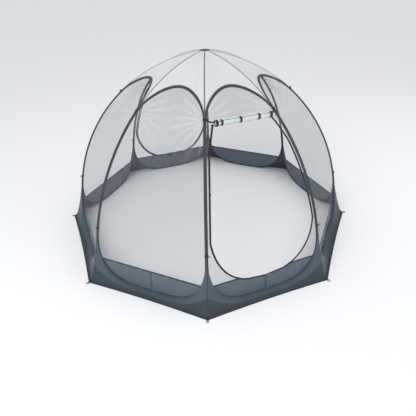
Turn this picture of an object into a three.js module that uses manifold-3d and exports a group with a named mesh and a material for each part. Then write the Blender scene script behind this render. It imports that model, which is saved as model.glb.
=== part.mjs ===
// Eight-sided pop-up screen house: spring-hoop walls, netting, kick panels, roof gores and skirt.
// Units are millimetres, +Z is up, and the origin is on the ground under the crown.
import * as THREE from 'three';
import { mergeVertices } from 'three/addons/utils/BufferGeometryUtils.js';
import Module from 'manifold-3d';

const wasm = await Module();
wasm.setup();

// ---- Driving dimensions -------------------------------------------------------------------
const SIDES = 8;                 // walls, each with a spring hoop of its own
const HEIGHT = 2050;             // ground to crown
const ACROSS_WALLS = 3000;       // wall to opposite wall at the ground
const HEM_REACH = 150;           // how far a hem corner is staked out beyond the hoops
const DOME_SHARE = 0.965;        // share of the height that is ellipse; the rest is the peak
const CORNER = Math.PI / SIDES;  // half of one wall's turn
const FOOT_APOTHEM = ACROSS_WALLS / 2;
const FOOT_RADIUS = FOOT_APOTHEM / Math.cos(CORNER);
const TIP_RADIUS = FOOT_RADIUS + HEM_REACH;

const SLEEVE_R = 9;              // hoop sleeve with its flat spring inside
const SLEEVE_INSET = 12;         // hoop centre line to the corner seam
const CLOTH = 2;                 // thickness of every panel
const SEAM_GAP = 1.5;            // gap between a panel and its neighbour
const UPPER_TIE_Z = 0.80 * HEIGHT;   // where neighbouring hoops part at the top
const LOWER_TIE_Z = 0.29 * HEIGHT;   // where they part at the bottom
const ARCH_Z = 0.893 * HEIGHT;       // top of a hoop's arch
const HOOP_FOOT_Z = SLEEVE_R + 0.5;  // hoop centre line at its lowest point
const KICK_Z = 0.125 * HEIGHT;       // top edge of the solid kick panel

const DOOR_FOOT_Z = 0.10 * HEIGHT;   // sill of a door opening
const DOOR_WAIST_Z = 0.50 * HEIGHT;  // widest height of a door opening
const DOOR_TOP_Z = 0.775 * HEIGHT;   // straight top seam of a door opening
const DOOR_TOP_SHARE = 0.78;         // door width at the top, as a share of the wall's
const DOOR_WAIST_SHARE = 0.97;       // and at the waist
const DOOR_MARGIN = 22;              // netting left between the door and the hoop
const DOOR_GAP = 6;              // gap round a closed door
const ZIP_WIDTH = 12;
const ZIP_LIFT = 3.6;            // underside of the zip tape above the wall's surface
const ROLL_R = 30;                   // rolled-up front door
const CROWN_R = 58;

const FRONT = 0;                 // wall facing -Y, with the door rolled up
const REAR = SIDES / 2;          // wall facing +Y, with the door closed

// ---- One wall as a flat pattern -----------------------------------------------------------
// A wall is straight across (w) and curved upwards (s), so it unrolls flat. n is the height
// above the wall's surface, positive outside.
const MERIDIAN_STEPS = 720;
const meridian = [];
for (let i = 0, s = 0; i <= MERIDIAN_STEPS; i++) {
  const phi = (Math.PI / 2) * (i / MERIDIAN_STEPS);
  const a = FOOT_APOTHEM * Math.cos(phi);
  const peak = (1 - DOME_SHARE) * (1 - Math.cos(phi)) ** 3;
  const z = HEIGHT * (DOME_SHARE * Math.sin(phi) + peak);
  if (i) s += Math.hypot(a - meridian[i - 1].a, z - meridian[i - 1].z);
  meridian.push({ a, z, s });
}

// Place on the meridian where a key ("s" or "z") has the given value.
function onMeridian(key, value) {
  let low = 0;
  let high = MERIDIAN_STEPS;
  while (high - low > 1) {
    const mid = (low + high) >> 1;
    if (meridian[mid][key] <= value) low = mid; else high = mid;
  }
  const [p, q] = [meridian[low], meridian[high]];
  const f = (value - p[key]) / (q[key] - p[key]);
  const length = Math.hypot(q.a - p.a, q.z - p.z);
  return {
    a: p.a + f * (q.a - p.a),
    z: p.z + f * (q.z - p.z),
    s: p.s + f * (q.s - p.s),
    outA: (q.z - p.z) / length,
    outZ: (p.a - q.a) / length,
  };
}
const sAt = (z) => onMeridian('z', z).s;
const halfWidth = (s) => onMeridian('s', s).a * Math.tan(CORNER);

// Flat-pattern point to space, on wall k.
function wallPoint(k, w, s, n) {
  const m = onMeridian('s', s);
  const azimuth = -Math.PI / 2 + 2 * CORNER * k;
  const r = m.a + n * m.outA;
  return new THREE.Vector3(
    r * Math.cos(azimuth) - w * Math.sin(azimuth),
    r * Math.sin(azimuth) + w * Math.cos(azimuth),
    Math.max(m.z + n * m.outZ, 0),
  );
}

// ---- The hoop's centre line, in the flat pattern ------------------------------------------
const S_UPPER = sAt(UPPER_TIE_Z);
const S_LOWER = sAt(LOWER_TIE_Z);
const S_ARCH = sAt(ARCH_Z);
const S_HOOP_FOOT = sAt(HOOP_FOOT_Z);
const seamSide = (s) => halfWidth(s) - SLEEVE_INSET;

// Right half, from the foot to the arch: f runs from 0 to 1 through three stretches, the
// bottom arc, the straight run beside the seam and the arch.
const BOTTOM_END = 0.35;
const SIDE_END = 0.65;
function hoopHalf(f) {
  const [bottom, side] = [BOTTOM_END, SIDE_END];
  if (f < bottom) {
    const a = (f / bottom) * (Math.PI / 2);
    const [c, d] = [Math.cos(a) ** (2 / 3), Math.sin(a) ** (2 / 3)];
    const s = S_LOWER - (S_LOWER - S_HOOP_FOOT) * c;
    return [d * seamSide(s), s];
  }
  if (f < side) {
    const s = S_LOWER + (S_UPPER - S_LOWER) * ((f - bottom) / (side - bottom));
    return [seamSide(s), s];
  }
  const a = ((f - side) / (1 - side)) * (Math.PI / 2);
  const s = S_UPPER + (S_ARCH - S_UPPER) * Math.sin(a);
  return [Math.cos(a) * seamSide(s), s];
}
const hoopLine = (f) => {
  const [w, s] = hoopHalf(f <= 0.5 ? 2 * f : 2 - 2 * f);
  return [f <= 0.5 ? w : -w, s];
};
const HOOP_STEPS = 44;           // straight steps round one hoop
const hoopTrace = Array.from({ length: HOOP_STEPS + 1 }, (_, i) => hoopLine((i / HOOP_STEPS) % 1));
function toHoop(w, s) {
  let nearest = Infinity;
  for (let i = 0; i < HOOP_STEPS; i++) {
    const [[aw, as], [bw, bs]] = [hoopTrace[i], hoopTrace[i + 1]];
    const [dw, ds] = [bw - aw, bs - as];
    const along = ((w - aw) * dw + (s - as) * ds) / (dw * dw + ds * ds);
    const f = Math.min(Math.max(along, 0), 1);
    nearest = Math.min(nearest, Math.hypot(w - aw - f * dw, s - as - f * ds));
  }
  return nearest;
}
const HOOP_CLEAR = SLEEVE_R + SEAM_GAP;

// Half width of the panel inside the hoop at height s.
function insideHoop(s) {
  let w = 0;
  while (toHoop(w, s) >= HOOP_CLEAR && w < FOOT_RADIUS) w += 1;
  return Math.max(w - 1, 0);
}

// Lowest s on the line at a share t of the wall's width that clears the hoop's arch.
const ARCH_CLEAR = HOOP_CLEAR + 4;   // the gore's edge is straight between its columns
function aboveArch(t) {
  let s = S_CROWN;
  while (s > S_UPPER && toHoop(t * (halfWidth(s) - SEAM_GAP), s) >= ARCH_CLEAR) s -= 1;
  return s + 1;
}
const S_CROWN = onMeridian('z', 0.9955 * HEIGHT).s;

// Half width of a door opening at height s.
const S_DOOR_FOOT = sAt(DOOR_FOOT_Z);
const S_DOOR_WAIST = sAt(DOOR_WAIST_Z);
const S_DOOR_TOP = sAt(DOOR_TOP_Z);
function doorHalf(s) {
  const low = Math.min((S_DOOR_WAIST - s) / (S_DOOR_WAIST - S_DOOR_FOOT), 1);
  const high = (s - S_DOOR_WAIST) / (S_DOOR_TOP - S_DOOR_WAIST);
  const share = s < S_DOOR_WAIST
    ? DOOR_WAIST_SHARE * (1 - low ** 2.4) ** (1 / 2.4)
    : DOOR_WAIST_SHARE - (DOOR_WAIST_SHARE - DOOR_TOP_SHARE) * high ** 2;
  return Math.min(share * halfWidth(s), insideHoop(s) - DOOR_MARGIN);
}

// ---- Makers -------------------------------------------------------------------------------
const group = new THREE.Group();
const material = (color, roughness, metalness = 0) => (
  new THREE.MeshStandardMaterial({ color, roughness, metalness })
);
const SLEEVE = material(0x2b353d, 0.8);
const NETTING = material(0xc9cdcc, 0.9);
const SLATE = material(0x5d6a75, 0.85);
const SKIRT = material(0x4a545e, 0.85);
const ROOF = material(0xe6ecef, 0.7);
const TAPE = material(0x14171a, 0.7);
const WEBBING = material(0x22262a, 0.8);
const METAL = material(0x3a3d40, 0.45, 0.8);

function add(name, geometry, look) {
  const mesh = new THREE.Mesh(geometry, look);
  mesh.name = name;
  group.add(mesh);
  return mesh;
}

// Moves every vertex of a closed three.js solid by a function of its own x, y and z.
function bend(geometry, place) {
  geometry.deleteAttribute('normal');
  geometry.deleteAttribute('uv');
  const solid = mergeVertices(geometry, 1e-4);
  const p = solid.attributes.position;
  for (let i = 0; i < p.count; i++) {
    const v = place(p.getX(i), p.getY(i), p.getZ(i));
    p.setXYZ(i, v.x, v.y, v.z);
  }
  solid.computeVertexNormals();
  return solid;
}

// A cloth panel on wall k. edge(u, v) gives [w, s] with u and v running from 0 to 1.
const panel = (k, across, up, edge, low = -CLOTH / 2, high = CLOTH / 2) => (
  bend(new THREE.BoxGeometry(1, 1, 1, across, up, 1), (x, y, z) => {
    const [w, s] = edge(x + 0.5, y + 0.5);
    return wallPoint(k, w, s, z < 0 ? low : high);
  })
);

// Rows crowd towards both ends, where the outlines are round.
const crowded = (v) => (1 - Math.cos(Math.PI * v)) / 2;

// A solid modelled in the flat pattern (x = w, y = s, z = n), laid on wall k.
const lay = (k, geometry) => bend(geometry, (x, y, z) => wallPoint(k, x, y, z));

function toManifold(geometry) {
  const vertProperties = new Float32Array(geometry.attributes.position.array);
  const triVerts = new Uint32Array(geometry.index.array);
  return new wasm.Manifold(new wasm.Mesh({ numProp: 3, vertProperties, triVerts }));
}

function cut(geometry, cutter) {
  const mesh = toManifold(geometry).subtract(toManifold(cutter)).getMesh();
  const out = new THREE.BufferGeometry();
  out.setAttribute('position', new THREE.BufferAttribute(mesh.vertProperties, 3));
  out.setIndex(new THREE.BufferAttribute(mesh.triVerts, 1));
  out.computeVertexNormals();
  return out;
}

// ---- Hoops --------------------------------------------------------------------------------
const hoop = (k) => bend(new THREE.TorusGeometry(100, 10, 6, HOOP_STEPS), (x, y, z) => {
  const f = ((Math.atan2(y, x) / (2 * Math.PI)) + 1) % 1;
  const [outwards, sideways] = [(Math.hypot(x, y) - 100) / 10, z / 10];
  const [w0, s0] = hoopLine(f);
  const [w1, s1] = hoopLine((f + 0.002) % 1);
  const [w2, s2] = hoopLine((f + 0.998) % 1);
  const run = Math.hypot(w1 - w2, s1 - s2);
  const [tw, ts] = [(w1 - w2) / run, (s1 - s2) / run];
  const across = SLEEVE_R * sideways;
  return wallPoint(k, w0 - ts * across, s0 + tw * across, SLEEVE_R * outwards);
});

// ---- Wall panels, roof gores --------------------------------------------------------------
const S_KICK = sAt(KICK_Z);
const S_PANEL_FOOT = S_HOOP_FOOT + HOOP_CLEAR + 0.5;
const S_PANEL_TOP = S_ARCH - HOOP_CLEAR - 1;
const between = (low, high, f) => low + (high - low) * f;

const inHoop = (low, high, rows) => (u, v) => {
  const s = between(low, high, rows(v));
  return [(2 * u - 1) * insideHoop(s), s];
};
const easeIn = (v) => 1 - Math.cos((Math.PI / 2) * v);
const easeOut = (v) => Math.sin((Math.PI / 2) * v);
const netting = (k) => panel(k, 1, 14, inHoop(S_KICK + SEAM_GAP, S_PANEL_TOP, easeOut));
const kick = (k) => panel(k, 1, 6, inHoop(S_PANEL_FOOT, S_KICK, easeIn));

const gore = (k) => panel(k, 12, 4, (u, v) => {
  const t = 2 * crowded(u) - 1;
  const s = between(aboveArch(t), S_CROWN, v);
  return [t * (halfWidth(s) - SEAM_GAP), s];
});

// ---- Doors --------------------------------------------------------------------------------
const DOOR_SILL_CUT = 6;         // keeps the opening's lowest row wider than nothing
const doorRows = (inset) => (u, v) => {
  const s = between(S_DOOR_FOOT + DOOR_SILL_CUT + inset, S_DOOR_TOP - inset, crowded(v));
  return [(2 * u - 1) * (doorHalf(s) - inset), s];
};
const doorCutter = (k) => panel(k, 1, 18, doorRows(0), -30, 30);

// The zip runs down one side of the door, under it and up the other side.
const zipLine = (f) => {
  const side = Math.abs(2 * f - 1);
  const s = between(S_DOOR_FOOT + DOOR_SILL_CUT, S_DOOR_TOP, side ** 1.7);
  return [Math.sign(f - 0.5) * doorHalf(s) * Math.min(side * 12, 1), s];
};
const zip = (k) => bend(new THREE.BoxGeometry(1, 1, 1, 36, 1, 1), (x, y, z) => {
  const f = x + 0.5;
  const [w, s] = zipLine(f);
  const [w1, s1] = zipLine(Math.min(f + 0.01, 1));
  const [w2, s2] = zipLine(Math.max(f - 0.01, 0));
  const run = Math.hypot(w1 - w2, s1 - s2);
  const out = y < 0 ? ZIP_WIDTH + SEAM_GAP : SEAM_GAP;
  const [dw, ds] = [(s1 - s2) / run, -(w1 - w2) / run];
  return wallPoint(k, w + dw * out, s + ds * out, ZIP_LIFT + (z < 0 ? 0 : CLOTH));
});

const SLIDER = { width: 12, length: 26, height: 6, lift: 10 };
const sliderPlace = (() => {
  const s = S_DOOR_WAIST + 120;
  return { w: doorHalf(s) + SEAM_GAP + ZIP_WIDTH / 2, s };
})();
const slider = (k) => {
  const body = new THREE.BoxGeometry(SLIDER.width, SLIDER.length, SLIDER.height);
  body.translate(-sliderPlace.w, sliderPlace.s, SLIDER.lift);
  return lay(k, body);
};

const ROLL_LENGTH = 2 * (DOOR_TOP_SHARE * halfWidth(S_DOOR_TOP) - 5);
const ROLL_PLACE = { s: S_DOOR_TOP + 4, n: ROLL_R + 10 };
const roll = (k) => {
  const tube = new THREE.CylinderGeometry(ROLL_R, ROLL_R, ROLL_LENGTH, 16, 1);
  tube.rotateZ(Math.PI / 2);
  tube.translate(0, ROLL_PLACE.s, ROLL_PLACE.n);
  return bend(tube, (x, y, z) => {
    const centre = wallPoint(k, x, ROLL_PLACE.s, ROLL_PLACE.n);
    const out = wallPoint(k, x, ROLL_PLACE.s, ROLL_PLACE.n + 1).sub(centre);
    const up = new THREE.Vector3(-out.x, -out.y, 0).normalize().multiplyScalar(out.z);
    up.z = Math.hypot(out.x, out.y);
    const [dy, dz] = [y - ROLL_PLACE.s, z - ROLL_PLACE.n];
    return centre.addScaledVector(up, dy).addScaledVector(out, dz);
  });
};

const TIE = { width: 18, thick: 2, gap: 0.6, sides: 16 };
const rollTie = (k, w) => {
  const inner = ROLL_R + TIE.gap;
  const outer = inner + TIE.thick;
  const section = [[inner, -1], [outer, -1], [outer, 1], [inner, 1], [inner, -1]];
  const points = section.map(([r, y]) => new THREE.Vector2(r, (y * TIE.width) / 2));
  const ring = new THREE.LatheGeometry(points, TIE.sides);
  ring.rotateZ(Math.PI / 2);
  return bend(ring, (x, y, z) => {
    const centre = wallPoint(k, w + x, ROLL_PLACE.s, ROLL_PLACE.n);
    const out = wallPoint(k, w + x, ROLL_PLACE.s, ROLL_PLACE.n + 1).sub(centre);
    const up = new THREE.Vector3(-out.x, -out.y, 0).normalize().multiplyScalar(out.z);
    up.z = Math.hypot(out.x, out.y);
    return centre.addScaledVector(up, y).addScaledVector(out, z);
  });
};

// ---- Skirt, crown and stake loops ---------------------------------------------------------
const HEM_BAND = 32;
const HEM_BOW = 14;              // the hem curves in this far between two stakes
const cornerAzimuth = (c) => -Math.PI / 2 + CORNER * (2 * c - 1);
const ground = (azimuth, r, z = 0) => (
  new THREE.Vector3(r * Math.cos(azimuth), r * Math.sin(azimuth), z)
);
const S_TIE_TOP = S_LOWER + 20;
const STAND_OFF = SLEEVE_R + 2;

// Upper edge of the skirt: on the outside of the hoop, from mid wall (0) to the corner (1).
function skirtTop(c, side, f) {
  const wall = (c + (side < 0 ? SIDES - 1 : 0)) % SIDES;
  const [w, s] = hoopHalf(BOTTOM_END * f);
  const reach = Math.max(w, SEAM_GAP);
  return { wall, w: -side * reach, s: between(s, S_TIE_TOP, f ** 6) };
}

// Skirt of corner c, between the middles of its two walls (x from -0.5 to 0.5): the hem band on
// the ground is rows 0 and 1, and the apron rises from it through row 2 to the hoops in row 3.
function apron(c, x, row) {
  const side = x < 0 ? -1 : 1;
  const f = 1 - Math.abs(2 * x);
  const middle = cornerAzimuth(c) + side * CORNER;
  const tip = ground(cornerAzimuth(c), TIP_RADIUS);
  const mid = ground(middle, TIP_RADIUS * Math.cos(CORNER));
  const hem = tip.lerp(mid, (1 - f) * (1 - SEAM_GAP / (TIP_RADIUS * Math.sin(CORNER))));
  hem.setLength(hem.length() - HEM_BOW * (1 - f * f));
  if (row === 0) return hem;
  hem.setLength(hem.length() - HEM_BAND);
  if (row === 1) return hem;
  let high;
  if (f > 0.999) {
    const m = onMeridian('s', S_TIE_TOP);
    high = ground(cornerAzimuth(c), m.a / Math.cos(CORNER) + 1.08 * STAND_OFF, m.z);
  } else {
    const top = skirtTop(c, side, f);
    high = wallPoint(top.wall, top.w, top.s, STAND_OFF);
  }
  return row === 3 ? high : hem.lerp(high, 0.55);
}

// A closed sheet over a grid of cells. Both faces split their cells along the same diagonal, so
// a twisted cell keeps its thickness. place(u, v, layer) gives each vertex.
function slab(across, up, place) {
  const at = (i, j, layer) => (j * (across + 1) + i) * 2 + layer;
  const positions = [];
  for (let j = 0; j <= up; j++) {
    for (let i = 0; i <= across; i++) {
      for (const layer of [0, 1]) positions.push(...place(i / across, j / up, layer));
    }
  }
  const index = [];
  const quad = (p, q, r, s) => index.push(p, q, r, p, r, s);
  for (let j = 0; j < up; j++) {
    for (let i = 0; i < across; i++) {
      quad(at(i, j, 1), at(i + 1, j, 1), at(i + 1, j + 1, 1), at(i, j + 1, 1));
      index.push(at(i, j, 0), at(i + 1, j + 1, 0), at(i + 1, j, 0));
      index.push(at(i, j, 0), at(i, j + 1, 0), at(i + 1, j + 1, 0));
    }
    quad(at(0, j, 0), at(0, j, 1), at(0, j + 1, 1), at(0, j + 1, 0));
    quad(at(across, j, 1), at(across, j, 0), at(across, j + 1, 0), at(across, j + 1, 1));
  }
  for (let i = 0; i < across; i++) {
    quad(at(i, 0, 0), at(i + 1, 0, 0), at(i + 1, 0, 1), at(i, 0, 1));
    quad(at(i, up, 1), at(i + 1, up, 1), at(i + 1, up, 0), at(i, up, 0));
  }
  const solid = new THREE.BufferGeometry();
  solid.setAttribute('position', new THREE.Float32BufferAttribute(positions, 3));
  solid.setIndex(index);
  solid.computeVertexNormals();
  return solid;
}

const skirt = (c) => slab(20, 3, (u, v, layer) => {
  const x = u - 0.5;
  const row = Math.round(v * 3);
  const base = apron(c, x, row);
  if (layer === 0) return base;
  if (row < 2) return base.setZ(CLOTH);
  const [left, right] = [Math.max(x - 0.01, -0.5), Math.min(x + 0.01, 0.5)];
  const across = apron(c, right, row).sub(apron(c, left, row));
  const up = apron(c, x, Math.min(row + 1, 3)).sub(apron(c, x, row - 1));
  return base.addScaledVector(across.cross(up).normalize(), CLOTH);
});

const LOOP = { r: 12, cord: 2.5, gap: 1 };
const stakeLoop = (c) => {
  const ring = new THREE.TorusGeometry(LOOP.r, LOOP.cord, 6, 12);
  const reach = TIP_RADIUS + LOOP.gap + LOOP.r + LOOP.cord;
  const centre = ground(cornerAzimuth(c), reach, LOOP.cord + 0.2);
  return bend(ring, (x, y, z) => new THREE.Vector3(x, y, z).add(centre));
};

const CROWN_RISE = 4.5;
const crown = () => {
  const cap = new THREE.CylinderGeometry(CROWN_R * 0.35, CROWN_R, CROWN_RISE, SIDES);
  cap.rotateX(Math.PI / 2);
  cap.rotateZ(CORNER);
  cap.translate(0, 0, HEIGHT - CROWN_RISE / 2);
  return bend(cap, (x, y, z) => new THREE.Vector3(x, y, z));
};

// ---- Assembly -----------------------------------------------------------------------------
const doorWalls = [FRONT, REAR];
for (let k = 0; k < SIDES; k++) {
  const hasDoor = doorWalls.includes(k);
  const open = (solid) => (hasDoor ? cut(solid, doorCutter(k)) : solid);
  add(`hoop_${k + 1}`, hoop(k), SLEEVE);
  add(`netting_${k + 1}`, open(netting(k)), NETTING);
  add(`kick_panel_${k + 1}`, open(kick(k)), SLATE);
  add(`roof_gore_${k + 1}`, gore(k), ROOF);
  add(`skirt_${k + 1}`, skirt(k), SKIRT);
  add(`stake_loop_${k + 1}`, stakeLoop(k), WEBBING);
}
add('crown_patch', crown(), SLEEVE);

add('front_zip_tape', zip(FRONT), TAPE);
add('front_zip_slider', slider(FRONT), METAL);
add('front_door_roll', roll(FRONT), ROOF);
const tieSpots = [-0.6, -0.1, 0.4].map((share) => share * halfWidth(S_DOOR_TOP));
tieSpots.forEach((w, i) => add(`roll_tie_${i + 1}`, rollTie(FRONT, w), WEBBING));

add('rear_door', panel(REAR, 1, 18, doorRows(DOOR_GAP)), NETTING);
add('rear_zip_tape', zip(REAR), TAPE);
add('rear_zip_slider', slider(REAR), METAL);

export default group;
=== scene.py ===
"""Looks of an eight-sided pop-up screen house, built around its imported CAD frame.

Metres, +Z up, origin on the ground under the crown. Each wall is straight across and curved
upwards, so it unrolls into a flat pattern: w runs across it, s up it, n stands off its outside.
"""
import math

import bpy
import numpy as np
from mathutils import Matrix, Vector


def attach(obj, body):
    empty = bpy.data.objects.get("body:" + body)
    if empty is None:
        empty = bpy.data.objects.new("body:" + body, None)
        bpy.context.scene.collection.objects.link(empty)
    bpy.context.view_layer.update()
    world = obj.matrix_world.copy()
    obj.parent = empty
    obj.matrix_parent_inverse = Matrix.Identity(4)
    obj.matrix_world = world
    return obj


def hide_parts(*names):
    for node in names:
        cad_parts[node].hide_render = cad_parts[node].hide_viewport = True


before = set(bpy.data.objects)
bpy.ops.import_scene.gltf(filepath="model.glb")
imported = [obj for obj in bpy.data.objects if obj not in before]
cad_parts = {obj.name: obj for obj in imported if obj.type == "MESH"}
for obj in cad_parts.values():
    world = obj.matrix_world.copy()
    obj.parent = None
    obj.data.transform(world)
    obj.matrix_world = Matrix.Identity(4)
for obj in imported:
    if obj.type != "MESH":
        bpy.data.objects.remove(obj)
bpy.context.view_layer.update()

# ---- Driving dimensions, from the CAD part except where a line says otherwise ---------------
SIDES = 8
HEIGHT = 2.05
FOOT_APOTHEM = 1.5
CORNER = math.pi / SIDES
TIP_RADIUS = FOOT_APOTHEM / math.cos(CORNER) + 0.150
DOME_SHARE = 0.965
SLEEVE_R = 0.009
SLEEVE_INSET = 0.008      # 0.012 in the CAD part
UPPER_TIE_Z = 0.80 * HEIGHT
LOWER_TIE_Z = 0.29 * HEIGHT
ARCH_Z = 0.893 * HEIGHT
HOOP_FOOT_Z = SLEEVE_R + 0.0005
KICK_Z = 0.125 * HEIGHT
DOOR_FOOT_Z = 0.10 * HEIGHT
DOOR_WAIST_Z = 0.50 * HEIGHT
DOOR_TOP_Z = 0.775 * HEIGHT
CROWN_Z = 0.9955 * HEIGHT
DOOR_WAIST_SHARE = 0.97
DOOR_TOP_SHARE = 0.78
DOOR_CURVE = 2.4
DOOR_MARGIN = 0.022
SLEEVE_TO_MARGIN = 0.016  # in place of the CAD part's search for the hoop's inner edge
HEM_BAND = 0.032
HEM_BOW = 0.014
ROLL_R = 0.030
ROLL_PLACE_S, ROLL_PLACE_N = 0.004, ROLL_R + 0.010
ROLL_TIE_SHARES = (-0.6, -0.1, 0.4)
SLIDER_ABOVE_WAIST, SLIDER_OFF_DOOR = 0.120, 0.0075
FRONT, REAR = 0, SIDES // 2
WALLS = range(SIDES)

# ---- Sizes that only the looks have ---------------------------------------------------------
CLOTH_THICK = 0.0012
ROOF_THICK = 0.0008
ROLL_THICK = 0.0011
CROWN_THICK = 0.0016
END_THICK = 0.001
STITCH_R = 0.0009
SLEEVE_HALF, SLEEVE_DEPTH = 0.0068, 0.0085
ARCH_WIDENING, FOOT_WIDENING = 0.0092, 0.0016
STRAP_HALF_THICK = 0.0012
CROWN_R, CROWN_STITCH_R = 0.057, 0.048
HEM_ROWS, GUSSET_ROWS, DARK_ROWS = 4, 22, 9
HEM_SHARE = 0.12
PROBE = 0.01
SHARP_ANGLE = math.radians(38)
LEAST_FILL = 0.35
FLOOR_REACH, FLOOR_Z = 40, -0.001
UP = np.array([0, 0, 1.0])

# ---- Camera -----------------------------------------------------------------------------------
CAMERA_AT = Vector((-1.5502, -3.904, 2.8657))
YAW, PITCH, ROLL = 0.378, 0.5832, -0.0212
LENS_MM = 33.26


def add_camera():
    forward = Vector((math.sin(YAW) * math.cos(PITCH), math.cos(YAW) * math.cos(PITCH),
                      -math.sin(PITCH)))
    right = Vector((math.cos(YAW), -math.sin(YAW), 0))
    up = right.cross(forward)
    across = math.cos(ROLL) * right + math.sin(ROLL) * up
    upright = math.cos(ROLL) * up - math.sin(ROLL) * right
    turn = Matrix((across, upright, -forward)).transposed()
    data = bpy.data.cameras.new("camera")
    data.lens, data.sensor_width = LENS_MM, 36
    camera = bpy.data.objects.new("camera", data)
    camera.matrix_world = Matrix.Translation(CAMERA_AT) @ turn.to_4x4()
    bpy.context.scene.collection.objects.link(camera)
    bpy.context.scene.camera = camera


add_camera()

# ---- The wall's meridian ----------------------------------------------------------------------
phi = np.linspace(0, math.pi / 2, 1441)
MER_A = FOOT_APOTHEM * np.cos(phi)
MER_Z = HEIGHT * (DOME_SHARE * np.sin(phi) + (1 - DOME_SHARE) * (1 - np.cos(phi)) ** 3)
MER_S = np.concatenate([[0], np.cumsum(np.hypot(np.diff(MER_A), np.diff(MER_Z)))])


def s_at(z):
    """Distance up the wall at height z."""
    return float(np.interp(z, MER_Z, MER_S))


def half_width(s):
    """Half the wall's width, from its middle to the corner seam."""
    return np.interp(s, MER_S, MER_A) * math.tan(CORNER)


def on_wall(k, w, s, n):
    """Flat-pattern arrays w, s, n on wall k, as points in space."""
    w, s, n = np.broadcast_arrays(np.asarray(w, float), s, n)
    a, z = np.interp(s, MER_S, MER_A), np.interp(s, MER_S, MER_Z)
    da = np.interp(s + 0.002, MER_S, MER_A) - np.interp(s - 0.002, MER_S, MER_A)
    dz = np.interp(s + 0.002, MER_S, MER_Z) - np.interp(s - 0.002, MER_S, MER_Z)
    run = np.hypot(da, dz)
    r, z = a + n * dz / run, z - n * da / run
    azimuth = -math.pi / 2 + 2 * CORNER * k
    c, d = math.cos(azimuth), math.sin(azimuth)
    return np.stack([r * c - w * d, r * d + w * c, np.maximum(z, 0.0005)], -1)


S_UPPER, S_LOWER, S_ARCH = s_at(UPPER_TIE_Z), s_at(LOWER_TIE_Z), s_at(ARCH_Z)
S_FOOT, S_KICK, S_CROWN = s_at(HOOP_FOOT_Z), s_at(KICK_Z), s_at(CROWN_Z)
S_DOOR_FOOT, S_DOOR_WAIST = s_at(DOOR_FOOT_Z) + 0.006, s_at(DOOR_WAIST_Z)
S_DOOR_TOP = s_at(DOOR_TOP_Z)
BOTTOM_END, SIDE_END = 0.35, 0.65


def seam_side(s):
    return half_width(s) - SLEEVE_INSET


def hoop_half(f):
    """Right half of the hoop's centre line from its foot to its arch, as (w, s)."""
    f = np.asarray(f, float)
    a = np.clip(f / BOTTOM_END, 0, 1) * math.pi / 2
    low_s = S_LOWER - (S_LOWER - S_FOOT) * np.cos(a) ** (2 / 3)
    low_w = np.sin(a) ** (2 / 3) * seam_side(low_s)
    side_s = S_LOWER + (S_UPPER - S_LOWER) * (f - BOTTOM_END) / (SIDE_END - BOTTOM_END)
    b = np.clip((f - SIDE_END) / (1 - SIDE_END), 0, 1) * math.pi / 2
    top_s = S_UPPER + (S_ARCH - S_UPPER) * np.sin(b)
    top_w = np.cos(b) * seam_side(top_s)
    low, side = f < BOTTOM_END, f < SIDE_END
    return (np.where(low, low_w, np.where(side, seam_side(side_s), top_w)),
            np.where(low, low_s, np.where(side, side_s, top_s)))


def hoop_line(f):
    """The whole hoop as (w, s), with f from 0 to 1 once round from its foot."""
    f = np.mod(np.asarray(f, float), 1)
    w, s = hoop_half(np.where(f <= 0.5, 2 * f, 2 - 2 * f))
    return np.where(f <= 0.5, w, -w), s


TRACE_W, TRACE_S = hoop_half(np.linspace(0, 1, 1600))


def hoop_width(s):
    """Half width of the hoop's centre line, s up the wall."""
    return np.interp(s, TRACE_S, TRACE_W)


def door_half(s):
    """Half width of the door's opening: an egg shape kept clear of the hoop."""
    low = np.clip((S_DOOR_WAIST - s) / (S_DOOR_WAIST - s_at(DOOR_FOOT_Z)), 0, 1)
    high = np.clip((s - S_DOOR_WAIST) / (S_DOOR_TOP - S_DOOR_WAIST), 0, 1)
    share = np.where(s < S_DOOR_WAIST, DOOR_WAIST_SHARE * (1 - low ** DOOR_CURVE) ** (1 / DOOR_CURVE),
                     DOOR_WAIST_SHARE - (DOOR_WAIST_SHARE - DOOR_TOP_SHARE) * high ** 2)
    return np.minimum(share * half_width(s), hoop_width(s) - SLEEVE_TO_MARGIN - DOOR_MARGIN)


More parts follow.
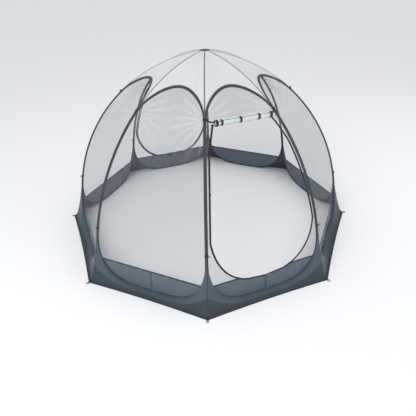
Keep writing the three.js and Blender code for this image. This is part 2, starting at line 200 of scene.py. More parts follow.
# ---- Materials --------------------------------------------------------------------------------
def cloth(name, colour, rough=0.8, weave_mm=2.4, bump=0.25, mottle=0.12, alpha=1.0, sheen=0.15,
          crease=0.25, patches=5.0):
    """Woven cloth: a bump of crossed threads, soft creases, uneven colour and sheen, and a painted
    highlight mixing the colour towards near-white where the mesh's pull attribute is set.
    """
    m = bpy.data.materials.new(name)
    m.use_nodes = True
    nodes, links = m.node_tree.nodes, m.node_tree.links
    shader = nodes["Principled BSDF"]
    shader.inputs["Alpha"].default_value = alpha
    shader.inputs["Sheen Weight"].default_value = sheen
    shader.inputs["Sheen Roughness"].default_value = 0.5
    shader.inputs["Specular IOR Level"].default_value = 0.3
    uv = nodes.new("ShaderNodeTexCoord")
    threads = []
    for direction in ("X", "Y"):
        wave = nodes.new("ShaderNodeTexWave")
        wave.bands_direction = direction
        wave.inputs["Scale"].default_value = 1000 / (weave_mm * 3.2)
        wave.inputs["Distortion"].default_value = 0.4
        links.new(uv.outputs["UV"], wave.inputs["Vector"])
        threads.append(wave)
    crossed = nodes.new("ShaderNodeMath")
    crossed.operation = "MULTIPLY"
    for i, wave in enumerate(threads):
        links.new(wave.outputs["Fac"], crossed.inputs[i])
    soft = nodes.new("ShaderNodeTexNoise")
    soft.inputs["Scale"].default_value = patches
    soft.inputs["Detail"].default_value = 5.0
    links.new(uv.outputs["Object"], soft.inputs["Vector"])
    weave_bump = nodes.new("ShaderNodeBump")
    weave_bump.inputs["Strength"].default_value = bump
    weave_bump.inputs["Distance"].default_value = 0.0006
    links.new(crossed.outputs[0], weave_bump.inputs["Height"])
    crease_bump = nodes.new("ShaderNodeBump")
    crease_bump.inputs["Strength"].default_value = crease
    crease_bump.inputs["Distance"].default_value = 0.06 / patches
    links.new(soft.outputs["Fac"], crease_bump.inputs["Height"])
    links.new(weave_bump.outputs["Normal"], crease_bump.inputs["Normal"])
    links.new(crease_bump.outputs["Normal"], shader.inputs["Normal"])
    tone = nodes.new("ShaderNodeMix")
    tone.data_type = "RGBA"
    dark = [c * (1 - mottle) for c in colour]
    light = [min(c * (1 + mottle), 1) for c in colour]
    tone.inputs["A"].default_value = (*dark, 1)
    tone.inputs["B"].default_value = (*light, 1)
    links.new(soft.outputs["Fac"], tone.inputs["Factor"])
    # Painted highlight: near-white mixed into the base colour where the mesh's pull attribute is set,
    # standing in for light caught on creased netting.
    highlight_streaks = nodes.new("ShaderNodeAttribute")
    highlight_streaks.attribute_name = "pull"
    shine = nodes.new("ShaderNodeMix")
    shine.data_type = "RGBA"
    shine.inputs["B"].default_value = (0.95, 0.95, 0.95, 1)
    links.new(highlight_streaks.outputs["Fac"], shine.inputs["Factor"])
    links.new(tone.outputs["Result"], shine.inputs["A"])
    links.new(shine.outputs["Result"], shader.inputs["Base Color"])
    dull = nodes.new("ShaderNodeMapRange")
    dull.inputs["To Min"].default_value = rough - 0.08
    dull.inputs["To Max"].default_value = min(rough + 0.08, 1)
    links.new(crossed.outputs[0], dull.inputs["Value"])
    links.new(dull.outputs["Result"], shader.inputs["Roughness"])
    return m


def hard(name, colour, rough, metal=0.0):
    """Painted metal or moulded plastic, a little scuffed."""
    m = bpy.data.materials.new(name)
    m.use_nodes = True
    nodes, links = m.node_tree.nodes, m.node_tree.links
    shader = nodes["Principled BSDF"]
    shader.inputs["Base Color"].default_value = (*colour, 1)
    shader.inputs["Metallic"].default_value = metal
    uv = nodes.new("ShaderNodeTexCoord")
    scuff = nodes.new("ShaderNodeTexNoise")
    scuff.inputs["Scale"].default_value = 120
    links.new(uv.outputs["Object"], scuff.inputs["Vector"])
    dull = nodes.new("ShaderNodeMapRange")
    dull.inputs["To Min"].default_value = rough - 0.1
    dull.inputs["To Max"].default_value = rough + 0.15
    links.new(scuff.outputs["Fac"], dull.inputs["Value"])
    links.new(dull.outputs["Result"], shader.inputs["Roughness"])
    return m


SLEEVE = cloth("sleeve_cloth", (0.030, 0.042, 0.052), 0.82, bump=0.4)
NET = cloth("insect_net", (0.17, 0.18, 0.185), 0.9, weave_mm=3, alpha=0.21, sheen=0.1, mottle=0.6,
            crease=0.1, patches=26)
KICK = cloth("kick_cloth", (0.105, 0.135, 0.168), 0.72, mottle=0.12, crease=0.3)
SKIRT = cloth("skirt_cloth", (0.068, 0.090, 0.112), 0.76, mottle=0.14, crease=0.45)
HEM = cloth("hem_cloth", (0.040, 0.054, 0.067), 0.8, mottle=0.16, crease=0.4)
ROOF = cloth("roof_cloth", (0.61, 0.635, 0.645), 0.7, mottle=0.07, crease=0.25, sheen=0.05)
ROLL_CLOTH = cloth("door_cloth", (0.60, 0.67, 0.705), 0.45, mottle=0.55, crease=1.0, sheen=0.2,
                   patches=40)
PIPING = cloth("seam_tape", (0.12, 0.14, 0.155), 0.8, mottle=0.12)
WEBBING = cloth("webbing", (0.018, 0.021, 0.024), 0.85, weave_mm=1.6, bump=0.6, mottle=0.2)
TAPE = cloth("zip_tape", (0.012, 0.013, 0.015), 0.8, weave_mm=1.4, bump=0.5, mottle=0.2)
TEETH = hard("zip_teeth", (0.02, 0.021, 0.023), 0.4)
TOGGLE = hard("toggle_plastic", (0.025, 0.027, 0.03), 0.42)
METAL = hard("slider_metal", (0.10, 0.10, 0.105), 0.35, 0.85)


# ---- Directions -------------------------------------------------------------------------------
def unit_rows(rows):
    return rows / np.linalg.norm(rows, axis=1, keepdims=True)


def outward(k, w, s, n):
    """Unit vectors that point straight out of wall k."""
    return unit_rows(on_wall(k, w, s, n + PROBE) - on_wall(k, w, s, n))


def corner_azimuth(c):
    return -math.pi / 2 + CORNER * (2 * c - 1)


def ground_point(azimuth, r):
    return np.array([r * math.cos(azimuth), r * math.sin(azimuth), 0])


# ---- Mesh makers ------------------------------------------------------------------------------
def mesh_piece(name, patches, looks, body, replaces=(), thick=0.0):
    """One piece from grid patches: (points[nv, nu, 3], uv[nv, nu, 2], material index)."""
    verts, faces, uvs, mats = [], [], [], []
    base = 0
    for points, uv, index in patches:
        nv, nu = points.shape[:2]
        verts.append(points.reshape(-1, 3))
        flat = uv.reshape(-1, 2)
        for j in range(nv - 1):
            for i in range(nu - 1):
                q = (j * nu + i, j * nu + i + 1, (j + 1) * nu + i + 1, (j + 1) * nu + i)
                faces.append([base + x for x in q])
                uvs += [flat[x] for x in q]
                mats.append(index)
        base += nu * nv
    data = bpy.data.meshes.new(name)
    data.from_pydata(np.concatenate(verts).tolist(), [], faces)
    layer = data.uv_layers.new(name="pattern")
    layer.data.foreach_set("uv", np.array(uvs, np.float32).ravel())
    for look in looks:
        data.materials.append(look)
    data.polygons.foreach_set("material_index", mats)
    data.polygons.foreach_set("use_smooth", [True] * len(faces))
    o = bpy.data.objects.new(name, data)
    bpy.context.scene.collection.objects.link(o)
    weld = o.modifiers.new("weld", "WELD")
    weld.merge_threshold = 1e-5
    if thick:
        solid = o.modifiers.new("thickness", "SOLIDIFY")
        solid.thickness, solid.offset, solid.use_even_offset = thick, 0, False
    bpy.context.view_layer.objects.active = o
    for modifier in list(o.modifiers):
        with bpy.context.temp_override(object=o, active_object=o):
            bpy.ops.object.modifier_apply(modifier=modifier.name)
    o.data.set_sharp_from_angle(angle=SHARP_ANGLE)
    if replaces:
        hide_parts(*replaces)
    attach(o, body)
    return o


def patch(k, edge, columns, rows, lift):
    """Grid on wall k. edge(u, v) gives (w, s), lift(w, s) gives n, rows is the list of v."""
    u, v = np.meshgrid(np.linspace(0, 1, columns), rows)
    w, s = edge(u, v)
    return on_wall(k, w, s, lift(w, s)), np.stack([w, s], -1), 0


def strip_patch(k, w, s, half, low, high):
    """A flat tape along the line (w, s) on wall k, with folded edges: a closed ribbon."""
    tw, ts = np.gradient(w), np.gradient(s)
    run = np.maximum(np.hypot(tw, ts), 1e-9)
    side_w, side_s = -ts / run, tw / run
    along = np.concatenate([[0], np.cumsum(np.hypot(np.diff(w), np.diff(s)))])
    ring = [(-half, low), (-half, high), (half, high), (half, low), (-half, low)]
    points, uv = [], []
    for across, n in ring:
        points.append(on_wall(k, w + side_w * across, s + side_s * across, n))
        uv.append(np.stack([along, np.full_like(along, across)], -1))
    return np.stack(points[::-1]), np.stack(uv[::-1]), 0


def capped(open_patch):
    """A ribbon or tube patch with its two end faces, as three patches."""
    points = open_patch[0]
    ends = [open_patch]
    for i in (0, -1):
        ring = points[:, i]
        mid = np.repeat(ring.mean(0)[None], len(ring), 0)
        pair = np.stack([ring, mid] if i == 0 else [mid, ring])
        ends.append((pair, np.zeros((*pair.shape[:2], 2)), 0))
    return ends


def tube_patch(centre, side, up, half_w, half_h, sides, power=1.0):
    """A closed flattened tube round a line of points, with its two section axes."""
    angle = np.linspace(0, 2 * math.pi, sides + 1)
    c, d = np.cos(angle), np.sin(angle)
    c, d = np.sign(c) * np.abs(c) ** power, np.sign(d) * np.abs(d) ** power
    points = (centre[None] + side[None] * (c * half_w)[:, None, None]
              + up[None] * (d * half_h)[:, None, None])
    along = np.concatenate([[0], np.cumsum(np.linalg.norm(np.diff(centre, axis=0), axis=1))])
    uv = np.stack(np.broadcast_arrays(along[None], (angle * (half_w + half_h) / 2)[:, None]), -1)
    return points, uv, 0


def ripple(w, s, tie_w, tie_s, waves, size, reach):
    """Creases that fan out from a tie and die away."""
    dw, ds = w - tie_w, s - tie_s
    far = np.hypot(dw, ds)
    return size * np.sin(waves * np.arctan2(ds, dw)) * np.exp(-(far / reach) ** 2) * far / reach


def paint_net_highlights(o):
    """Painted highlight streaks where the netting is drawn tight to its upper ties: near-white mixed
    into the net's base colour, kept on the mesh as the pull attribute.
    """
    mesh = o.data
    flat = np.zeros(len(mesh.loops) * 2, np.float32)
    mesh.uv_layers[0].data.foreach_get("uv", flat)
    corner = np.zeros(len(mesh.loops), np.int32)
    mesh.loops.foreach_get("vertex_index", corner)
    place = np.zeros((len(mesh.vertices), 2))
    place[corner] = flat.reshape(-1, 2)
    w, s = place.T
    dw, ds = half_width(S_UPPER) - np.abs(w), S_UPPER - s
    far = np.hypot(dw, ds)
    rays = np.clip(np.sin(19 * np.arctan2(ds, dw) + np.sign(w)), 0, 1) ** 2
    # Strength of the painted highlight, 0 to 1, stored as the pull attribute.
    pull = rays * np.exp(-(far / 0.26) ** 2) * np.clip(far / 0.03, 0, 1)
    layer = mesh.attributes.new("pull", "FLOAT", "POINT")
    layer.data.foreach_set("value", pull.astype(np.float32))


def net_lift(w, s):
    """Netting pulled tight between its hoop's sides: a shallow hollow and fanned creases."""
    hollow = -0.010 * (1 - np.clip(w / np.maximum(hoop_width(s), 0.05), -1, 1) ** 2)
    folds = sum(ripple(w, s, side * half_width(tie), tie, 26, 0.014, 0.42)
                for side in (-1, 1) for tie in (S_UPPER, S_LOWER))
    edge = np.clip((hoop_width(s) - np.abs(w)) / 0.06, 0, 1)
    return (hollow + folds) * edge


# ---- Wall panels ------------------------------------------------------------------------------
def across_hoop(low, high):
    """The whole width inside the hoop, from s = low to s = high."""
    def edge(u, v):
        s = low + (high - low) * v
        return (2 * u - 1) * hoop_width(s), s
    return edge


def beside_door(side, low, high):
    """The strip between the door and one side of the hoop."""
    def edge(u, v):
        s = low + (high - low) * v
        inner, outer = door_half(s) + 0.002, hoop_width(s)
        a, b = (inner, outer) if side > 0 else (-outer, -inner)
        return a + (b - a) * u, s
    return edge


def kick_lift(w, s):
    """Low ripples in the kick cloth that die away at the hoop."""
    edge = np.clip((hoop_width(s) - np.abs(w)) / 0.08, 0, 1)
    return edge * (0.004 * np.sin(w * 17 + 1.3) * np.sin(s * 11 + 0.4) + 0.003 * np.sin(w * 41))


def even(count):
    return np.linspace(0, 1, count)


def build_walls():
    """The netting and kick panel of every wall, with rows crowded where the hoop turns in."""
    low, high = S_FOOT + 0.001, S_ARCH - 0.0005
    ease = np.sin(np.linspace(0, math.pi / 2, 110))
    rise = 1 - np.cos(np.linspace(0, math.pi / 2, 20))
    for k in WALLS:
        n = k + 1
        if k in (FRONT, REAR):
            parts = [(f"net_{n}_{label}",
                      patch(k, beside_door(side, S_KICK, S_DOOR_TOP), 4, even(60), net_lift),
                      0.30, S_DOOR_TOP - S_KICK)
                     for label, side in (("left", -1), ("right", 1))]
            parts.append((f"net_{n}_top",
                          patch(k, across_hoop(S_DOOR_TOP, high), 50, ease[::2], net_lift),
                          2 * float(hoop_width(S_DOOR_TOP)), S_ARCH - S_DOOR_TOP))
            solid = [patch(k, beside_door(side, S_DOOR_FOOT, S_KICK), 8, even(8), kick_lift)
                     for side in (-1, 1)]
            solid.append(patch(k, across_hoop(low, S_DOOR_FOOT), 40, rise, kick_lift))
        else:
            parts = [(f"net_{n}_cloth",
                      patch(k, across_hoop(S_KICK, high), 56, ease, net_lift),
                      2 * float(half_width(S_LOWER)), S_ARCH - S_KICK)]
            solid = [patch(k, across_hoop(low, S_KICK), 40, rise, kick_lift)]
        for name, net, width, length in parts:
            sheet = mesh_piece(name, [net], [NET], "shelter", [f"netting_{n}"])
            # Painted highlight streaks on the netting near its upper ties.
            paint_net_highlights(sheet)
            declare(sheet, width, length, "stretched", f"hoop_sleeve_{n}")
        panel = mesh_piece(f"kick_{n}", solid, [KICK], "shelter",
                           [f"kick_panel_{n}"], thick=CLOTH_THICK)
        declare(panel, 2 * float(half_width(S_FOOT)), S_KICK - S_FOOT, "stretched",
                f"hoop_sleeve_{n}", both_sides=True)
        binding(k, n)


pending_sheets = []


def declare(o, width, length, held, rests_on, both_sides=False):
    pending_sheets.append((o, width, length, held, rests_on, both_sides))


def one_side_area(o, both_sides):
    area = sum(p.area for p in o.data.polygons)
    return area / 2 if both_sides else area


def binding(k, n):
    """The folded tape where the net meets the kick panel, and the kick panel's upright seam."""
    reach = float(hoop_width(S_KICK)) - 0.010
    spans = [(-reach, reach)]
    if k in (FRONT, REAR):
        gap = float(door_half(S_KICK)) + 0.010
        spans = [(-reach, -gap), (gap, reach)]
    patches = []
    for a, b in spans:
        w = np.linspace(a, b, 24)
        s = np.full_like(w, S_KICK)
        ribbon = strip_patch(k, w, s, 0.007, -0.0012, 0.0030)
        patches += capped(ribbon)
    mesh_piece(f"kick_binding_{n}", patches, [SLEEVE], "shelter")
    s = np.linspace(S_FOOT + 0.02, (S_DOOR_FOOT if k in (FRONT, REAR) else S_KICK) - 0.004, 10)
    w = np.full_like(s, 0.010)
    lift = kick_lift(w, s)
    ribbon = strip_patch(k, w, s, 0.013, lift + 0.0004, lift + 0.0022)
    mesh_piece(f"kick_seam_{n}", capped(ribbon), [SKIRT], "shelter")


# ---- Hoops, seams and ties --------------------------------------------------------------------
def sleeve(k):
    """A hoop's sleeve, narrow down the corners and wide over the arch, with two stitch rows."""
    f = np.linspace(0, 1, 181)
    w, s = hoop_line(f)
    ahead, behind = hoop_line(f + 0.0015), hoop_line(f - 0.0015)
    tw, ts = ahead[0] - behind[0], ahead[1] - behind[1]
    run = np.hypot(tw, ts)
    centre = on_wall(k, w, s, 0)
    side = unit_rows(on_wall(k, w + ts / run * PROBE, s - tw / run * PROBE, 0) - centre)
    out = outward(k, w, s, 0)
    half = 1 - np.abs(2 * f - 1)
    arch = np.sin(np.clip((half - SIDE_END) / (1 - SIDE_END), 0, 1) * math.pi / 2) ** 0.7
    foot = np.clip(1 - half / BOTTOM_END, 0, 1)
    flat = (1 + (ARCH_WIDENING * arch + FOOT_WIDENING * foot) / SLEEVE_HALF)[:, None]
    puff = 1 + 0.05 * np.sin(f * 2 * math.pi * 70)[:, None]
    tube = tube_patch(centre, side * puff * flat, out * puff, SLEEVE_HALF, SLEEVE_DEPTH, 14,
                      power=0.85)
    n = k + 1
    mesh_piece(f"hoop_sleeve_{n}", [tube], [SLEEVE], "shelter", [f"hoop_{n}"])
    for row, sign in (("outer", -1), ("inner", 1)):
        offset = sign * flat[:, 0] * SLEEVE_HALF * 0.72
        shift = on_wall(k, w + ts / run * offset, s - tw / run * offset, 0.0072)
        thread = tube_patch(shift, side, out, STITCH_R, STITCH_R, 5)
        mesh_piece(f"sleeve_stitch_{row}_{n}", [thread], [PIPING], "shelter")


def corner_points(c, s, n):
    """Points on the corner seam c, between walls c-1 and c, standing n proud."""
    s = np.asarray(s, float)
    a = on_wall((c - 1) % SIDES, half_width(s), s, 0)
    b = on_wall(c, -half_width(s), s, 0)
    out = unit_rows(on_wall((c - 1) % SIDES, half_width(s), s, PROBE)
                    + on_wall(c, -half_width(s), s, PROBE) - a - b)
    azimuth = corner_azimuth(c)
    side = np.tile(np.array([-math.sin(azimuth), math.cos(azimuth), 0]), (len(s), 1))
    return (a + b) / 2 + out * n, out, side


def corner_tapes(c):
    """The roof seam above the upper tie, the web between sleeves below it, and both ties."""
    n = c + 1
    centre, out, side = corner_points(c, np.linspace(S_UPPER, S_CROWN - 0.004, 40), 0.0012)
    tube = tube_patch(centre, side, out, 0.0055, 0.0016, 8)
    mesh_piece(f"roof_seam_{n}", capped(tube), [PIPING], "shelter")
    centre, out, side = corner_points(c, np.linspace(S_LOWER - 0.01, S_UPPER + 0.01, 60), -0.001)
    tube = tube_patch(centre, side, out, 0.0060, 0.0030, 8)
    mesh_piece(f"corner_web_{n}", capped(tube), [SLEEVE], "shelter")
    for level, s in (("upper", S_UPPER), ("lower", S_LOWER)):
        tie(c, level, s)


def tie(c, level, s):
    """A webbing loop round both sleeves with a toggle through it."""
    n = c + 1
    centre, out, side = corner_points(c, np.array([s]), 0)
    up = np.cross(out, side)
    up *= np.sign(up[:, 2:3])
    angle = np.linspace(0, 2 * math.pi, 33)
    ring = (centre + side * (np.cos(angle) * 0.0185)[:, None]
            + out * (np.sin(angle) * 0.0115)[:, None])
    radial = side * (np.cos(angle) * 0.7)[:, None] + out * np.sin(angle)[:, None]
    loop = tube_patch(ring, np.tile(up, (33, 1)), unit_rows(radial), 0.010, STRAP_HALF_THICK, 8)
    mesh_piece(f"{level}_tie_{n}", [loop], [WEBBING], "shelter")
    along = np.linspace(-1, 1, 15)
    shape = np.sqrt(np.clip(1 - np.abs(along) ** 5, 0, 1))
    shape *= 1 - 0.3 * np.cos(along * math.pi / 2) ** 2
    line = centre + out * 0.0165 + side * (0.018 + along * 0.024)[:, None]
    bar = tube_patch(line, np.tile(up, (15, 1)) * shape[:, None],
                     np.tile(out, (15, 1)) * shape[:, None], 0.0052, 0.0052, 10)
    mesh_piece(f"{level}_toggle_{n}", [bar], [TOGGLE], "shelter")


# ---- Roof -------------------------------------------------------------------------------------
def gore(k):
    """A roof panel from its hoop's arch up to the crown, with shallow folds."""
    b = np.linspace(math.pi, 0, 33)
    arch_s = S_UPPER + (S_ARCH - S_UPPER) * np.sin(b)
    arch_w = np.cos(b) * seam_side(arch_s)
    share = arch_w / half_width(arch_s)
    share = np.concatenate([[-1], share, [1]])
    start = np.concatenate([[S_UPPER], arch_s, [S_UPPER]])
    v = np.linspace(0, 1, 26)[:, None]
    s = start[None] + (S_CROWN - start[None]) * v
    w = share[None] * half_width(s)
    bulge = 4 * v * (1 - v) * (1 - share[None] ** 2)
    fan = 0.004 * np.sin(share[None] * 19) * np.sin(math.pi * v) * (1 - share[None] ** 2)
    n = -0.010 * bulge + fan + 0.0005
    number = k + 1
    o = mesh_piece(f"gore_{number}", [(on_wall(k, w, s, n), np.stack([w, s], -1), 0)], [ROOF],
                   "shelter", [f"roof_gore_{number}"], thick=ROOF_THICK)
    declare(o, 2 * float(half_width(S_UPPER)), S_CROWN - S_UPPER, "stretched",
            f"hoop_sleeve_{number}", both_sides=True)


def crown():
    """Eight-sided patch over the gores' points, puckered by its stitching."""
    rings, turn = 9, 48
    angle = np.linspace(0, 2 * math.pi, turn + 1)
    r = np.linspace(0.0005, CROWN_R, rings)[:, None]
    sector = np.mod(angle - math.pi / 2 + CORNER, 2 * CORNER) - CORNER
    edge = math.cos(CORNER) / np.cos(sector)
    x, y = r * edge * np.cos(angle), r * edge * np.sin(angle)
    out = r / CROWN_R
    z = HEIGHT - 0.0002 - 0.0045 * out ** 1.6 + 0.0006 * np.cos(angle * 16) * out
    points = np.stack([x, y, z], -1)
    mesh_piece("crown_patch_cloth", [(points[:, ::-1], points[:, ::-1, :2].copy(), 0)], [SLEEVE],
               "shelter", ["crown_patch"], thick=CROWN_THICK)
    line = np.stack([CROWN_STITCH_R * edge * np.cos(angle), CROWN_STITCH_R * edge * np.sin(angle),
                     np.full_like(angle, HEIGHT - 0.0030)], -1)
    out = np.tile(UP, (turn + 1, 1))
    side = np.stack([np.cos(angle), np.sin(angle), np.zeros_like(angle)], -1)
    mesh_piece("crown_stitch", [tube_patch(line, side, out, STITCH_R, STITCH_R, 5)], [PIPING],
               "shelter")


# ---- Skirt ------------------------------------------------------------------------------------
def skirt_rows(c, x, rows):
    """Points of the skirt of corner c at x in [-0.5, 0.5], for each share of the way up."""
    side = -1 if x < 0 else 1
    f = 1 - abs(2 * x)
    corner = corner_azimuth(c)
    tip = ground_point(corner, TIP_RADIUS)
    mid = ground_point(corner + side * CORNER, TIP_RADIUS * math.cos(CORNER))
    hem = tip + (mid - tip) * (1 - f)
    unit = hem / np.linalg.norm(hem)
    hem = hem - unit * HEM_BOW * (1 - f * f)
    inner = hem - unit * HEM_BAND
    w, s = (float(v) for v in hoop_half(BOTTOM_END * f))
    s_top = s + (S_LOWER + 0.02 - s) * f ** 6
    wall = c % SIDES if side > 0 else (c - 1) % SIDES
    reach = min(w + 0.012 * f ** 6, float(half_width(s_top)))
    high = on_wall(wall, -side * reach, s_top, 0.0095)
    points = []
    for v in rows:
        if v < HEM_SHARE:
            p = hem + (inner - hem) * (v / HEM_SHARE)
        else:
            t = (v - HEM_SHARE) / (1 - HEM_SHARE)
            p = inner + (high - inner) * t
            dip = math.sin(math.pi * t) * (0.25 + 0.75 * f)
            fold = 0.0035 * math.sin(abs(x) * 34 + 2.0 * t) * math.sin(math.pi * t) ** 2
            p = p - unit * (0.022 * dip * (f ** 3)) + unit * fold
        points.append(p + UP * CLOTH_THICK)
    return points


def skirt(c):
    """Two-tone skirt round one corner, with its corner seam and hem tape."""
    n = c + 1
    rows = np.concatenate([np.linspace(0, HEM_SHARE, HEM_ROWS),
                           np.linspace(HEM_SHARE, 1, GUSSET_ROWS)[1:]])
    u = np.linspace(-1, 1, 81)
    x = np.sign(u) * (1 - (1 - np.abs(u)) ** 1.5) / 2
    grid = np.array([skirt_rows(c, v, rows) for v in x]).transpose(1, 0, 2)
    across = np.concatenate([[0], np.cumsum(np.linalg.norm(np.diff(grid[0], axis=0), axis=1))])
    up = np.concatenate([[0], np.cumsum(np.linalg.norm(np.diff(grid[:, 40], axis=0), axis=1))])
    uv = np.stack(np.meshgrid(across, up), -1)
    dark = (grid[:DARK_ROWS + 1], uv[:DARK_ROWS + 1], 1)
    light = (grid[DARK_ROWS:], uv[DARK_ROWS:], 0)
    o = mesh_piece(f"skirt_cloth_{n}", [dark, light], [SKIRT, HEM], "shelter",
                   [f"skirt_{n}"], thick=CLOTH_THICK)
    declare(o, float(across[-1]), float(up[-1]), "stretched", f"hoop_sleeve_{n}", both_sides=True)
    ridge = grid[:, 40]
    radial = ground_point(corner_azimuth(c), 1)
    side = np.tile([-radial[1], radial[0], 0], (len(ridge), 1))
    out = -unit_rows(np.cross(side, np.gradient(ridge, axis=0)))
    out *= np.where(out @ (radial + [0, 0, 0.5]) < 0, -1, 1)[:, None]
    seam = tube_patch(ridge + out * 0.0014, side, out, 0.0035, 0.0012, 6)
    mesh_piece(f"skirt_seam_{n}", capped(seam), [HEM], "shelter")
    hem = grid[0] + [0, 0, 0.0014]
    outwards = unit_rows(hem)
    rise = np.tile(UP, (len(hem), 1))
    bead = tube_patch(hem - outwards * 0.004, outwards, rise, 0.0050, 0.0022, 8)
    mesh_piece(f"hem_tape_{n}", capped(bead), [WEBBING], "shelter")


def stake_loop(c):
    """A folded webbing loop sewn to the hem's corner."""
    radial = ground_point(corner_azimuth(c), 1)
    across = np.array([-radial[1], radial[0], 0])
    angle = np.linspace(0, 2 * math.pi, 41)
    centre = radial * (TIP_RADIUS + 0.0155)
    line = (centre + radial * (np.cos(angle) * 0.0125)[:, None]
            + across * (np.sin(angle) * 0.0115)[:, None] + [0, 0, 0.0032])
    side = radial * np.cos(angle)[:, None] + across * np.sin(angle)[:, None]
    rise = np.tile(UP, (41, 1))
    loop = tube_patch(line, side, rise, 0.0018, 0.0030, 8, power=0.6)
    mesh_piece(f"stake_webbing_{c + 1}", [loop], [WEBBING], "shelter",
               [f"stake_loop_{c + 1}"])
    start, end = radial * (TIP_RADIUS - 0.060), radial * (TIP_RADIUS + 0.006)
    line = start + (end - start) * np.linspace(0, 1, 12)[:, None] + [0, 0, 0.0042]
    tab = tube_patch(line, np.tile(across, (12, 1)), np.tile(rise[:1], (12, 1)), 0.0095, 0.0013, 8,
                     power=0.6)
    mesh_piece(f"stake_tab_{c + 1}", capped(tab), [WEBBING], "shelter")


# ---- Doors ------------------------------------------------------------------------------------
def zip_line(count, inset):
    """The zip's line: down one side of the door, under it and up the other side."""
    side = np.abs(np.linspace(-1, 1, count))
    sign = np.sign(np.linspace(-1, 1, count))
    s = S_DOOR_FOOT + (S_DOOR_TOP - S_DOOR_FOOT) * side ** 1.7
    w = sign * door_half(s) * np.minimum(side * 12, 1)
    tw, ts = np.gradient(w), np.gradient(s)
    run = np.hypot(tw, ts)
    return w + ts / run * inset, s - tw / run * inset


def zipper(k, label):
    """A zip's cloth tape and its raised, notched chain of teeth."""
    w, s = zip_line(241, 0.008)
    ribbon = strip_patch(k, w, s, 0.0085, 0.0022, 0.0040)
    mesh_piece(f"{label}_zip_cloth", capped(ribbon), [TAPE], "shelter",
               [f"{label}_zip_tape"])
    w, s = zip_line(561, 0.001)
    line = on_wall(k, w, s, 0.0048)
    out = outward(k, w, s, 0.0048)
    side = unit_rows(np.cross(np.gradient(line, axis=0), out))
    tooth = (0.55 + 0.45 * (np.arange(len(w)) % 2))[:, None]
    chain = tube_patch(line, side * tooth, out * tooth, 0.0034, 0.0018, 6)
    mesh_piece(f"{label}_zip_teeth", capped(chain), [TEETH], "shelter")


def slider(k, label):
    """The zip slider's shaped body and its pull tab, in the CAD slider's place."""
    s0 = S_DOOR_WAIST + SLIDER_ABOVE_WAIST
    w0 = -(float(door_half(s0)) + SLIDER_OFF_DOOR)
    spots = np.linspace(-1, 1, 15)
    w, s, n = np.full(15, w0), s0 + spots * 0.0125, 0.0100
    body_line = on_wall(k, w, s, n)
    out = outward(k, w, s, n)
    side = unit_rows(on_wall(k, w + PROBE, s, n) - body_line)
    shape = (np.clip(1 - np.abs(spots) ** 4, 0.0004, 1) ** 0.5 * (0.8 + 0.2 * spots))[:, None]
    shell = tube_patch(body_line, side * shape, out * shape, 0.0060, 0.0030, 12, power=0.6)
    mesh_piece(f"{label}_slider_body", capped(shell), [METAL], f"{label}_slider",
               [f"{label}_zip_slider"])
    pull_s = s0 - 0.006 - np.linspace(0, 0.030, 13)
    pull_line = on_wall(k, np.full(13, w0), pull_s, 0.0142)
    taper = (0.7 + 0.3 * np.linspace(0, 1, 13))[:, None]
    pull = tube_patch(pull_line, side[:13] * taper, out[:13], 0.0050, 0.0010, 10, power=0.6)
    mesh_piece(f"{label}_slider_pull", capped(pull), [METAL], f"{label}_slider")


def door_roll():
    """The open door, rolled up under its top seam and gathered by three webbing ties."""
    s0, n0 = S_DOOR_TOP + ROLL_PLACE_S, ROLL_PLACE_N
    half = DOOR_TOP_SHARE * float(half_width(S_DOOR_TOP)) - 0.006
    ties = [share * float(half_width(S_DOOR_TOP)) for share in ROLL_TIE_SHARES]
    w = np.linspace(-half, half, 140)
    centre = on_wall(FRONT, w, s0, n0)
    out = outward(FRONT, w, s0, n0)
    across = np.tile(np.array([1.0, 0, 0]), (len(w), 1))
    up = np.cross(out, across)
    up *= np.sign(up[:, 2:3])
    pinch = 1 - sum(0.14 * np.exp(-((w - t) / 0.022) ** 2) for t in ties)
    pinch *= 1 - 0.10 * (np.abs(w) / half) ** 6
    turns, core = 3.2, 0.0045
    angle = np.linspace(0, turns * 2 * math.pi, 150)
    radius = core + (ROLL_R * 1.04 - core) * angle / angle[-1]
    round_it = angle[:, None]
    crease = 1 + 0.022 * np.sin(5 * round_it + 31 * w) + 0.015 * np.sin(57 * w + round_it)
    r = radius[:, None] * pinch[None] * crease
    points = (centre[None] + up[None] * (r * np.cos(angle)[:, None])[..., None]
              + out[None] * (r * np.sin(angle)[:, None])[..., None])
    length = np.cumsum(radius) * (angle[1] - angle[0])
    uv = np.stack(np.broadcast_arrays(w[None], length[:, None]), -1)
    o = mesh_piece("front_door_cloth", [(points, uv, 0)], [ROLL_CLOTH], "front_door",
                   ["front_door_roll"], thick=ROLL_THICK)
    for label, band in (("left", slice(0, 7)), ("right", slice(-7, None))):
        ring = tube_patch(centre[band], up[band] * pinch[band][:, None],
                          out[band] * pinch[band][:, None], ROLL_R * 1.08, ROLL_R * 1.08, 40)
        mesh_piece(f"roll_end_{label}", [ring], [WEBBING], "front_door", thick=END_THICK)
    out_here, up_here = out[:1], up[:1]
    for i, t in enumerate(ties):
        line = on_wall(FRONT, np.array([t]), s0, n0)
        angle = np.linspace(0, 2 * math.pi, 49)
        radial = up_here * np.cos(angle)[:, None] + out_here * np.sin(angle)[:, None]
        loop = tube_patch(line + radial * (ROLL_R * 0.95), np.tile(across[:1], (49, 1)), radial,
                          0.0090, STRAP_HALF_THICK, 8, power=0.6)
        mesh_piece(f"roll_strap_{i + 1}", [loop], [WEBBING], "front_door",
                   [f"roll_tie_{i + 1}"])
        along = np.linspace(-1, 1, 15)
        shape = np.sqrt(np.clip(1 - np.abs(along) ** 5, 0, 1))[:, None]
        bar_line = line + out_here * (ROLL_R * 0.90 + 0.005) + across[:1] * (along * 0.016)[:, None]
        bar = tube_patch(bar_line, np.tile(up_here, (15, 1)) * shape,
                         np.tile(out_here, (15, 1)) * shape, 0.0045, 0.0045, 10)
        mesh_piece(f"roll_toggle_{i + 1}", [bar], [TOGGLE], "front_door")


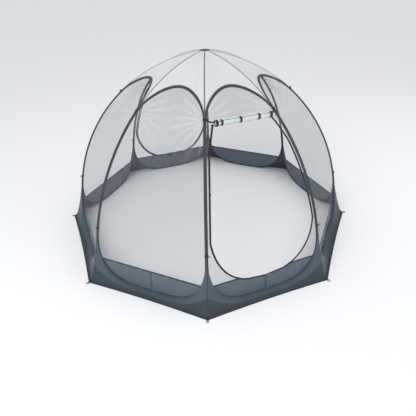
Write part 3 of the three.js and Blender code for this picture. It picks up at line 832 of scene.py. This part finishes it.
def roll_strap(label, corner, sign):
    """The webbing strap from a corner's upper tie down to the end of the rolled door."""
    start = corner_points(corner, np.array([S_UPPER - 0.004]), 0.013)[0][0]
    half = DOOR_TOP_SHARE * float(half_width(S_DOOR_TOP)) - 0.012
    end = on_wall(FRONT, np.array([sign * half]), S_DOOR_TOP + 0.012, ROLL_R * 1.75)[0]
    t = np.linspace(0, 1, 24)[:, None]
    line = start + (end - start) * t - [0, 0.006, 0.012] * np.sin(math.pi * t)
    out = np.tile(outward(FRONT, np.array([0.0]), S_UPPER, 0), (24, 1))
    side = unit_rows(np.cross(np.gradient(line, axis=0), out))
    strap = tube_patch(line, side, out, 0.0085, STRAP_HALF_THICK, 8, power=0.6)
    o = mesh_piece(f"roll_hanger_{label}", capped(strap), [WEBBING], "shelter")
    length = float(np.linalg.norm(np.diff(line, axis=0), axis=1).sum())
    declare(o, 0.0195, length, "stretched", f"upper_tie_{corner + 1}", both_sides=True)


def rear_door():
    """The closed door: a net with a cloth foot, and the zip's other edge round them."""
    gap = 0.004

    def inside(low, high):
        def edge(u, v):
            s = low + (high - low) * v
            return (2 * u - 1) * np.maximum(door_half(s) - gap, 0.01), s
        return edge
    crowd = 1 - np.cos(np.linspace(0, math.pi / 2, 24))
    net_grid = patch(REAR, inside(S_KICK + 0.001, S_DOOR_TOP - gap), 26, even(70), net_lift)
    net = mesh_piece("rear_door_net", [net_grid], [NET], "rear_door", ["rear_door"])
    declare(net, 2 * float(door_half(S_DOOR_WAIST)), S_DOOR_TOP - S_KICK, "hung",
            "rear_zip_cloth")
    foot_grid = patch(REAR, inside(S_DOOR_FOOT + gap, S_KICK + 0.001), 26, crowd, kick_lift)
    foot = mesh_piece("rear_door_foot", [foot_grid], [KICK], "rear_door",
                      thick=CLOTH_THICK)
    declare(foot, 2 * float(door_half(S_KICK)), S_KICK - S_DOOR_FOOT, "hung", "rear_door_net",
            both_sides=True)
    w, s = zip_line(241, -0.010)
    keep = s < S_DOOR_TOP - 0.006
    ribbon = strip_patch(REAR, w[keep], s[keep], 0.0060, -0.0016, 0.0022)
    mesh_piece("rear_door_edge", capped(ribbon), [TAPE], "rear_door")


def top_binding(k, label):
    """The webbing across the top of a door, where the door is sewn on."""
    reach = float(door_half(S_DOOR_TOP)) + 0.016
    w = np.linspace(-reach, reach, 30)
    ribbon = strip_patch(k, w, np.full_like(w, S_DOOR_TOP + 0.006), 0.006, -0.0015, 0.0035)
    mesh_piece(f"{label}_door_seam", capped(ribbon), [SLEEVE], "shelter")


# ---- Build ------------------------------------------------------------------------------------
for wall in WALLS:
    sleeve(wall)
build_walls()
for wall in WALLS:
    gore(wall)
    corner_tapes(wall)
    skirt(wall)
    stake_loop(wall)
crown()
for wall, which in ((FRONT, "front"), (REAR, "rear")):
    zipper(wall, which)
    slider(wall, which)
    top_binding(wall, which)
door_roll()
roll_strap("left", 0, -1)
roll_strap("right", 1, 1)
rear_door()
# Each area is measured on the mesh it describes, so area shares worked out from it come out near 1 by
# construction and test nothing. The checker's area shares come out near 1 by construction and test
# nothing. Where a cut fills less of its rectangle than LEAST_FILL, its width is narrowed to reach it,
# and so is narrower than the cloth; the widths and lengths worked out here are not passed on.
for piece, width, length, held, rests_on, both in pending_sheets:
    area = one_side_area(piece, both)
    width = min(width, area / length / LEAST_FILL)
    length = max(length, area / width)


# ---- Floor and light --------------------------------------------------------------------------
def add_floor():
    data = bpy.data.meshes.new("floor")
    r, z = FLOOR_REACH, FLOOR_Z
    data.from_pydata([(-r, -r, z), (r, -r, z), (r, r, z), (-r, r, z)], [], [(0, 1, 2, 3)])
    floor = bpy.data.objects.new("floor", data)
    m = bpy.data.materials.new("floor_plain")
    m.use_nodes = True
    shader = m.node_tree.nodes["Principled BSDF"]
    shader.inputs["Base Color"].default_value = (0.93, 0.93, 0.93, 1)
    shader.inputs["Roughness"].default_value = 0.95
    data.materials.append(m)
    bpy.context.scene.collection.objects.link(floor)


def add_light(name, at, size, power):
    data = bpy.data.lights.new(name, "AREA")
    data.shape, data.size, data.energy = "DISK", size, power
    lamp = bpy.data.objects.new(name, data)
    lamp.location = at
    lamp.rotation_euler = (Vector((0, 0, 0.9)) - Vector(at)).to_track_quat("-Z", "Y").to_euler()
    bpy.context.scene.collection.objects.link(lamp)


add_floor()
world = bpy.data.worlds.new("studio")
world.use_nodes = True
sky = world.node_tree.nodes["Background"]
sky.inputs["Color"].default_value = (0.95, 0.97, 1.0, 1)
sky.inputs["Strength"].default_value = 0.80
bpy.context.scene.world = world
add_light("key", (-4.5, -4.0, 6.0), 4.0, 230)
add_light("fill", (5.0, -2.5, 4.5), 5.0, 60)
bpy.context.scene.view_settings.view_transform = "Standard"
